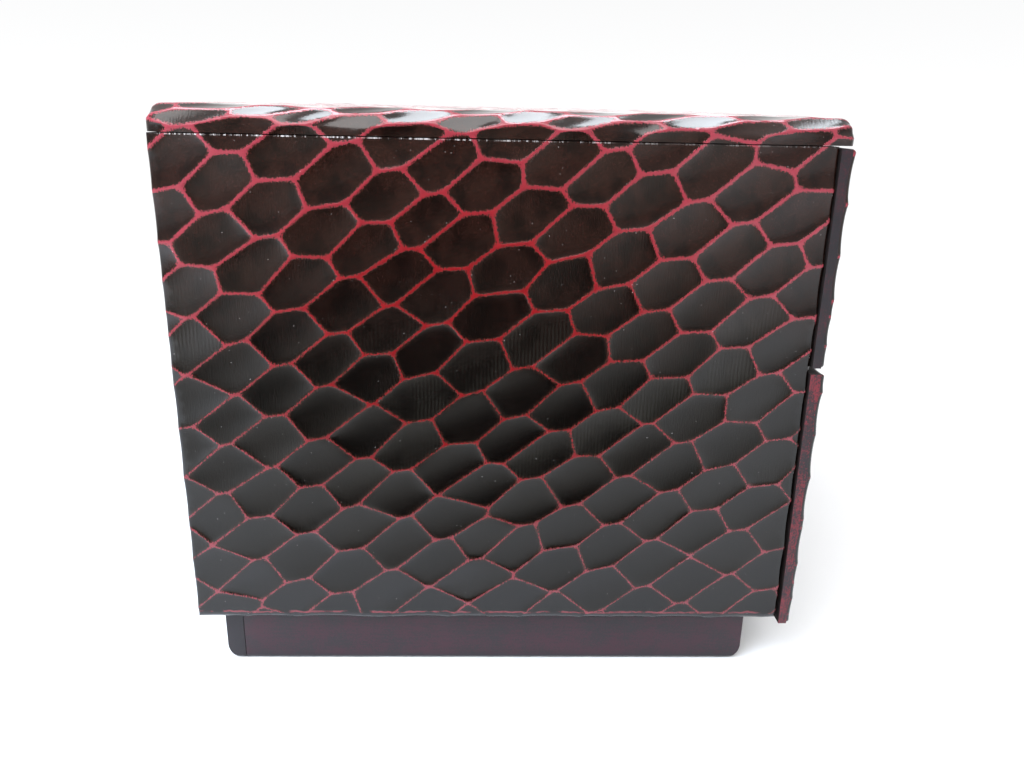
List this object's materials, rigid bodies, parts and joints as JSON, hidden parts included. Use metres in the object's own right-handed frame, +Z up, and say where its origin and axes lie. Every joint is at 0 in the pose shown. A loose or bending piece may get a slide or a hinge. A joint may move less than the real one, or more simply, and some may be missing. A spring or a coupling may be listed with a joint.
{
  "type": "tabletop chest",
  "caption": "Small lacquered tabletop chest carved all over with tortoiseshell scoops, with stacked sliding drawers on ring pulls and a recessed plinth.",
  "frame": {"origin": "on the surface the chest stands on, under the middle of the whole", "axes": "+X across the width to the right side, +Y to the back so that the drawers open towards -Y, +Z up"},
  "size_m": [0.25, 0.212, 0.1887],
  "materials": {
    "carved_lacquer": "semi-gloss dark brown lacquer over red, with the red showing along the ridges of the cuts",
    "plain_lacquer": "semi-gloss dark brown lacquer",
    "plinth_lacquer": "worn brownish red lacquer",
    "bare_wood": "unfinished softwood",
    "drawer_lacquer": "satin black lacquer",
    "pull_metal": "darkened copper alloy"
  },
  "bodies": {
    "case": {"top_board": "carved_lacquer", "left_side": "carved_lacquer", "right_side": "carved_lacquer", "back_panel": "plain_lacquer", "bottom_board": "plain_lacquer", "divider_shelf": "plain_lacquer", "plinth_front_rail": "plinth_lacquer", "plinth_back_rail": "plinth_lacquer", "plinth_left_rail": "plinth_lacquer", "plinth_right_rail": "plinth_lacquer", "plinth_block_front_left": "bare_wood", "plinth_block_front_right": "bare_wood", "plinth_block_back_right": "bare_wood", "plinth_block_back_left": "bare_wood"},
    "upper_drawer": {"upper_front": "carved_lacquer", "upper_box_left": "drawer_lacquer", "upper_box_right": "drawer_lacquer", "upper_box_front": "drawer_lacquer", "upper_box_back": "drawer_lacquer", "upper_box_floor": "drawer_lacquer", "upper_pull_plate": "pull_metal", "upper_pull_pin": "pull_metal"},
    "lower_drawer": {"lower_front": "carved_lacquer", "lower_box_left": "drawer_lacquer", "lower_box_right": "drawer_lacquer", "lower_box_front": "drawer_lacquer", "lower_box_back": "drawer_lacquer", "lower_box_floor": "drawer_lacquer", "lower_pull_plate": "pull_metal", "lower_pull_pin": "pull_metal"},
    "upper_ring": {"upper_pull_ring": "pull_metal"},
    "lower_ring": {"lower_pull_ring": "pull_metal"}
  },
  "joints": [
    {"name": "upper_drawer_slide", "type": "slide", "parent": "case", "child": "upper_drawer", "axis": [0, -1, 0], "range_m": [0, 0.15]},
    {"name": "lower_drawer_slide", "type": "slide", "parent": "case", "child": "lower_drawer", "axis": [0, -1, 0], "range_m": [0, 0.15]},
    {"name": "upper_ring_swing", "type": "hinge", "parent": "upper_drawer", "child": "upper_ring", "pos_m": [0, -0.103, 0.1461], "axis": [-1, 0, 0], "range_deg": [-8, 180]},
    {"name": "lower_ring_swing", "type": "hinge", "parent": "lower_drawer", "child": "lower_ring", "pos_m": [0, -0.1035, 0.06495], "axis": [-1, 0, 0], "range_deg": [-8, 180]}
  ]
}
